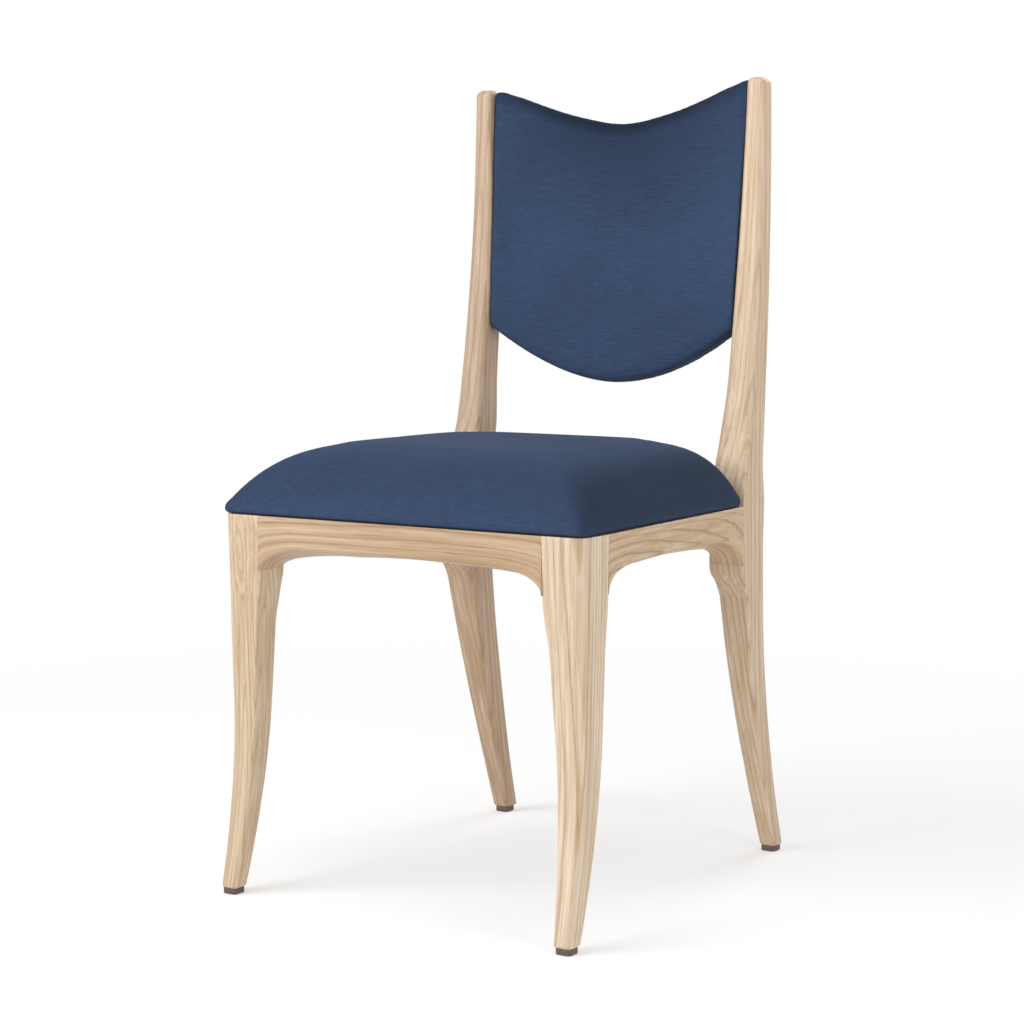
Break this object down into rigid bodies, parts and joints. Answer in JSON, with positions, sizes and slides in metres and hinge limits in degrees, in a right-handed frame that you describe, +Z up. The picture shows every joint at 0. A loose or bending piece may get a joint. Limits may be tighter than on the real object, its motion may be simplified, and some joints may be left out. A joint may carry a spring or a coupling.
{
  "type": "klismos dining chair",
  "caption": "Upholstered dining chair with sabre legs flared front and back, arched seat rails and a hollowed shield back between leaning posts.",
  "frame": {"origin": "on the floor, midway between the four feet", "axes": "+X to the sitter's left, +Y to the back of the chair, +Z up"},
  "size_m": [0.471, 0.5283, 0.912],
  "materials": {
    "ash": "clear matt lacquer over natural ash, grain along each piece",
    "linen": "navy linen with a fine slub weave",
    "plywood": "bare plywood, hidden",
    "beech": "bare beech, hidden or under the seat",
    "foam": null,
    "steel": "zinc plated screws and nails",
    "nylon": "brown nylon glide",
    "lining": "black non-woven dust cloth"
  },
  "bodies": {
    "root": {"back_board": "plywood", "back_cover": "linen", "back_foam": "foam", "back_outer_cover": "linen", "front_block_cross_screw_left": "steel", "front_block_cross_screw_right": "steel", "front_block_side_screw_left": "steel", "front_block_side_screw_right": "steel", "front_corner_block_left": "beech", "front_corner_block_right": "beech", "front_glide_left": "nylon", "front_glide_nail_left": "steel", "front_glide_nail_right": "steel", "front_glide_right": "nylon", "front_leg_left": "ash", "front_leg_right": "ash", "front_rail": "ash", "front_seat_screw_left": "steel", "front_seat_screw_right": "steel", "lower_back_dowel_left": "beech", "lower_back_dowel_right": "beech", "rear_block_cross_screw_left": "steel", "rear_block_cross_screw_right": "steel", "rear_block_side_screw_left": "steel", "rear_block_side_screw_right": "steel", "rear_corner_block_left": "beech", "rear_corner_block_right": "beech", "rear_glide_left": "nylon", "rear_glide_nail_left": "steel", "rear_glide_nail_right": "steel", "rear_glide_right": "nylon", "rear_leg_left": "ash", "rear_leg_right": "ash", "rear_rail": "ash", "rear_seat_screw_left": "steel", "rear_seat_screw_right": "steel", "seat_board": "plywood", "seat_cover": "linen", "seat_dust_cloth": "lining", "seat_foam": "foam", "side_rail_left": "ash", "side_rail_right": "ash", "upper_back_dowel_left": "beech", "upper_back_dowel_right": "beech"}
  },
  "joints": []
}
